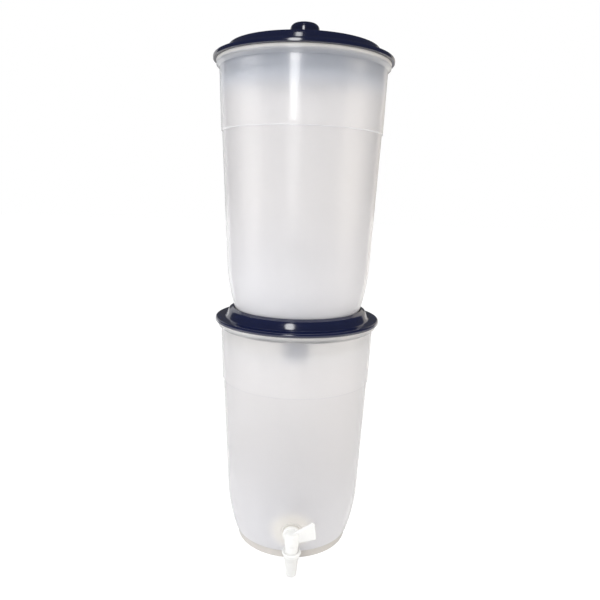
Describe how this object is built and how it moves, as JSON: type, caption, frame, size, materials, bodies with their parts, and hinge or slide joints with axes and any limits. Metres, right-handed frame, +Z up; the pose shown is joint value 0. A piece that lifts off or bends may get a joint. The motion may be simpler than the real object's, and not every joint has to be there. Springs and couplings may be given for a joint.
{
  "type": "spirit carbon filter",
  "caption": "Two frosted tubs stacked on a navy collar, with a lid, a carbon cartridge and drip outlet in the upper tub and a lever tap on the lower one.",
  "frame": {"origin": "middle of the lower foot ring, on the surface that the filter stands on", "axes": "+Z up along the axis of both vessels, -Y towards the tap"},
  "size_m": [0.2, 0.2253, 0.621],
  "materials": {
    "frosted_vessel": "frosted translucent polypropylene",
    "navy_gloss": "glossy moulded plastic",
    "navy_dark": "glossy moulded plastic",
    "tap_white": "satin moulded plastic",
    "silicone": "soft clear silicone",
    "dark_rubber": "matt rubber",
    "cartridge_white": "satin moulded plastic",
    "felt": "pressed felt",
    "carbon": "black granules",
    "steel": "stainless"
  },
  "bodies": {
    "lower_vessel": {"lower_vessel": "frosted_vessel", "tap_body": "tap_white", "tap_spout": "tap_white", "tap_outer_washer": "silicone", "tap_inner_washer": "silicone", "tap_lock_nut": "tap_white"},
    "tap_lever": {"tap_plug": "tap_white", "plug_o_rings": "dark_rubber"},
    "collar": {"stacking_collar": "navy_gloss"},
    "upper_vessel": {"upper_vessel": "frosted_vessel", "outlet_adaptor": "navy_gloss", "adaptor_inner_washer": "dark_rubber", "adaptor_outer_washer": "dark_rubber", "outlet_nut": "navy_gloss"},
    "cartridge": {"cartridge_body": "cartridge_white", "cartridge_cap": "cartridge_white", "cartridge_o_ring": "dark_rubber", "lower_felt_pad": "felt", "carbon_bed": "carbon", "upper_felt_pad": "felt"},
    "lid": {"lid_shell": "navy_gloss", "lid_knob": "navy_dark", "knob_washer": "steel", "knob_screw": "steel"}
  },
  "joints": [
    {"name": "tap_turn", "type": "hinge", "parent": "lower_vessel", "child": "tap_lever", "pos_m": [0, -0.114, 0.0482], "axis": [0, 0, -1], "range_deg": [0, 90]},
    {"name": "collar_lift", "type": "slide", "parent": "lower_vessel", "child": "collar", "axis": [0, 0, 1], "range_m": [0, 0.04]},
    {"name": "upper_vessel_lift", "type": "slide", "parent": "collar", "child": "upper_vessel", "axis": [0, 0, 1], "range_m": [0, 0.12]},
    {"name": "cartridge_lift", "type": "slide", "parent": "upper_vessel", "child": "cartridge", "axis": [0, 0, 1], "range_m": [0, 0.1]},
    {"name": "lid_lift", "type": "slide", "parent": "upper_vessel", "child": "lid", "axis": [0, 0, 1], "range_m": [0, 0.06]}
  ]
}
